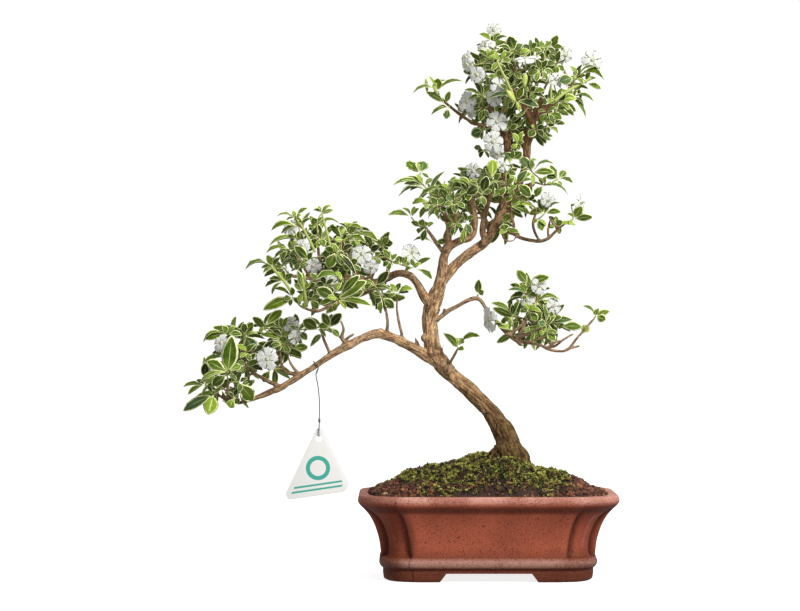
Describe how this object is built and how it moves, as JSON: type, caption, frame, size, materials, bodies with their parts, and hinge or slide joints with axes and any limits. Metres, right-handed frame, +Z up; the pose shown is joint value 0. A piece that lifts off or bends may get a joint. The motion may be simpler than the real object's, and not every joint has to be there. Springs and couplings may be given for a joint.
{
  "type": "bonsai tree in pot",
  "caption": "Leaning serissa bonsai with variegated leaves, white flowers and a hanging label, in a mossy mound of soil in a rectangular clay pot with feet.",
  "frame": {"origin": "on the ground under the middle of the whole tree", "axes": "+X to the right of the pot's front face, +Y to the back, +Z up"},
  "size_m": [0.3445, 0.132, 0.4358],
  "materials": {
    "clay": "matte",
    "bark": "matte",
    "leaf": "satin",
    "petal": "matte",
    "bud": "matte",
    "soil": "matte",
    "moss": "matte",
    "screen_plastic": "matte",
    "wire_metal": "satin",
    "tag_plastic": "satin",
    "thread": "matte"
  },
  "bodies": {
    "root": {"bud_1": "bud", "drain_screen_left": "screen_plastic", "drain_screen_right": "screen_plastic", "flower_1": "petal", "flower_10": "petal", "flower_2": "petal", "flower_3": "petal", "flower_4": "petal", "flower_5": "petal", "flower_6": "petal", "flower_7": "petal", "flower_8": "petal", "flower_9": "petal", "label_tag": "tag_plastic", "moss_front": "moss", "moss_left": "moss", "moss_right": "moss", "pot": "clay", "screen_wire_left": "wire_metal", "screen_wire_right": "wire_metal", "soil": "soil", "spray_crown_back": "leaf", "spray_crown_front": "leaf", "spray_crown_left": "leaf", "spray_crown_low_right": "leaf", "spray_crown_middle": "leaf", "spray_crown_right": "leaf", "spray_crown_second": "leaf", "spray_crown_twig": "leaf", "spray_curling_end": "leaf", "spray_lower_end": "leaf", "spray_lower_far": "leaf", "spray_lower_fork": "leaf", "spray_lower_inner": "leaf", "spray_lower_upper": "leaf", "spray_middle_back": "leaf", "spray_middle_back_right": "leaf", "spray_middle_centre": "leaf", "spray_middle_front": "leaf", "spray_middle_left": "leaf", "spray_middle_right": "leaf", "spray_middle_twig": "leaf", "spray_middle_upper": "leaf", "spray_right_middle": "leaf", "spray_right_tip": "leaf", "spray_right_upper": "leaf", "spray_trunk_shoot": "leaf", "spray_upper_back": "leaf", "spray_upper_end": "leaf", "spray_upper_front": "leaf", "spray_upper_inner": "leaf", "spray_upper_inner_back": "leaf", "spray_upper_lower": "leaf", "spray_upper_outer": "leaf", "spray_upper_rise": "leaf", "spray_upper_rise_near": "leaf", "spray_upright_near": "leaf", "tag_thread": "thread", "trunk_and_branches": "bark"}
  },
  "joints": []
}
